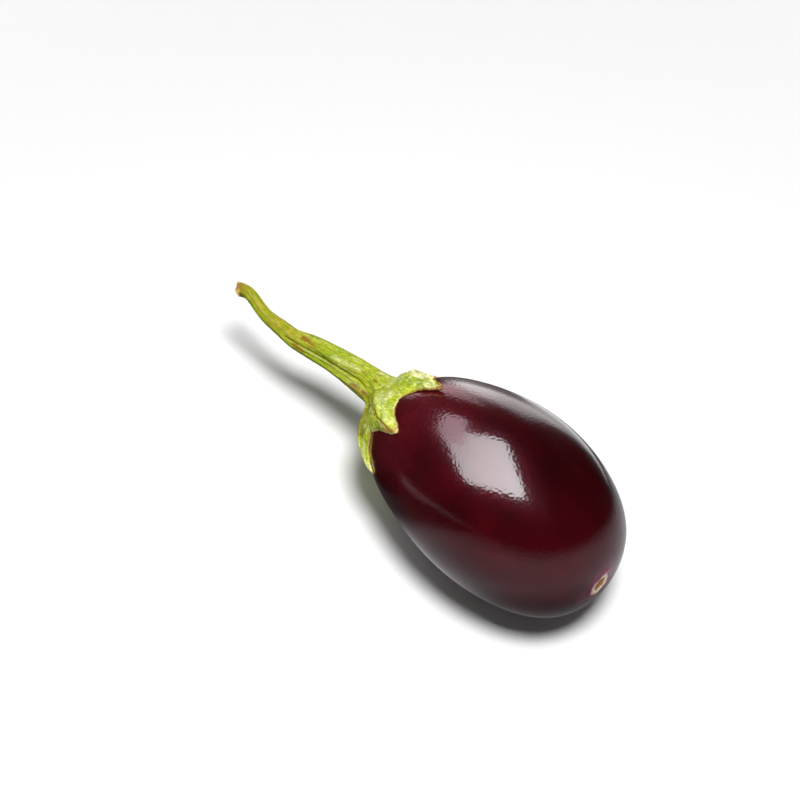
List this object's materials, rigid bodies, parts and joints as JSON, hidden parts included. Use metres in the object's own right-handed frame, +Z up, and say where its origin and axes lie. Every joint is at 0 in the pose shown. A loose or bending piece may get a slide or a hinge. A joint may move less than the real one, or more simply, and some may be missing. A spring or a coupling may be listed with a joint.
{
  "type": "eggplant",
  "caption": "Small plump purple eggplant lying on its side, with a lobed green calyx and a long cut stem.",
  "frame": {"origin": "on the surface that the eggplant lies on, under the middle of its bounding box", "axes": "+X along the fruit from the stem towards the blossom end, +Z up, +Y to the left of +X"},
  "size_m": [0.1322, 0.0478, 0.0462],
  "materials": {
    "fruit_skin": "smooth, taut and glossy, with a waxy bloom",
    "calyx_green": "matt, finely felted and ribbed"
  },
  "bodies": {
    "root": {"fruit": "fruit_skin", "calyx_and_stem": "calyx_green"}
  },
  "joints": []
}
